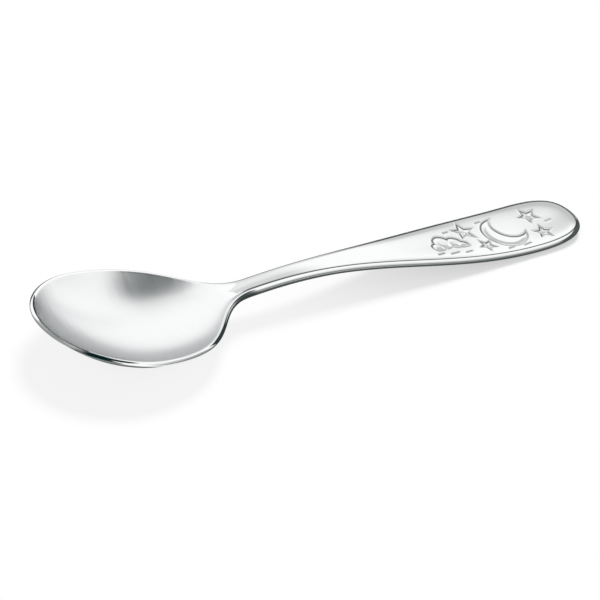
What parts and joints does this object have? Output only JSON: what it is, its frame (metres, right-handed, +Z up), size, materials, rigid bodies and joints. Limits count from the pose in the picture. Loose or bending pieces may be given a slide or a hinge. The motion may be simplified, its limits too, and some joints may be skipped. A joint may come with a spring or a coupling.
{
  "type": "baby spoon",
  "caption": "Child's first spoon in one piece: a broad shallow rounded bowl, an arched slim neck and a flat handle that widens to a round end.",
  "frame": {"origin": "on the table, under the middle of the spoon's length, in its plane of symmetry", "axes": "+X from the tip of the bowl to the end of the handle, +Y to the left when looking along +X, +Z up out of the bowl"},
  "size_m": [0.15, 0.0358, 0.0112],
  "materials": {
    "stainless_steel": "mirror polished outside and on the handle, fine satin inside the bowl"
  },
  "bodies": {
    "root": {"spoon": "stainless_steel"}
  },
  "joints": []
}
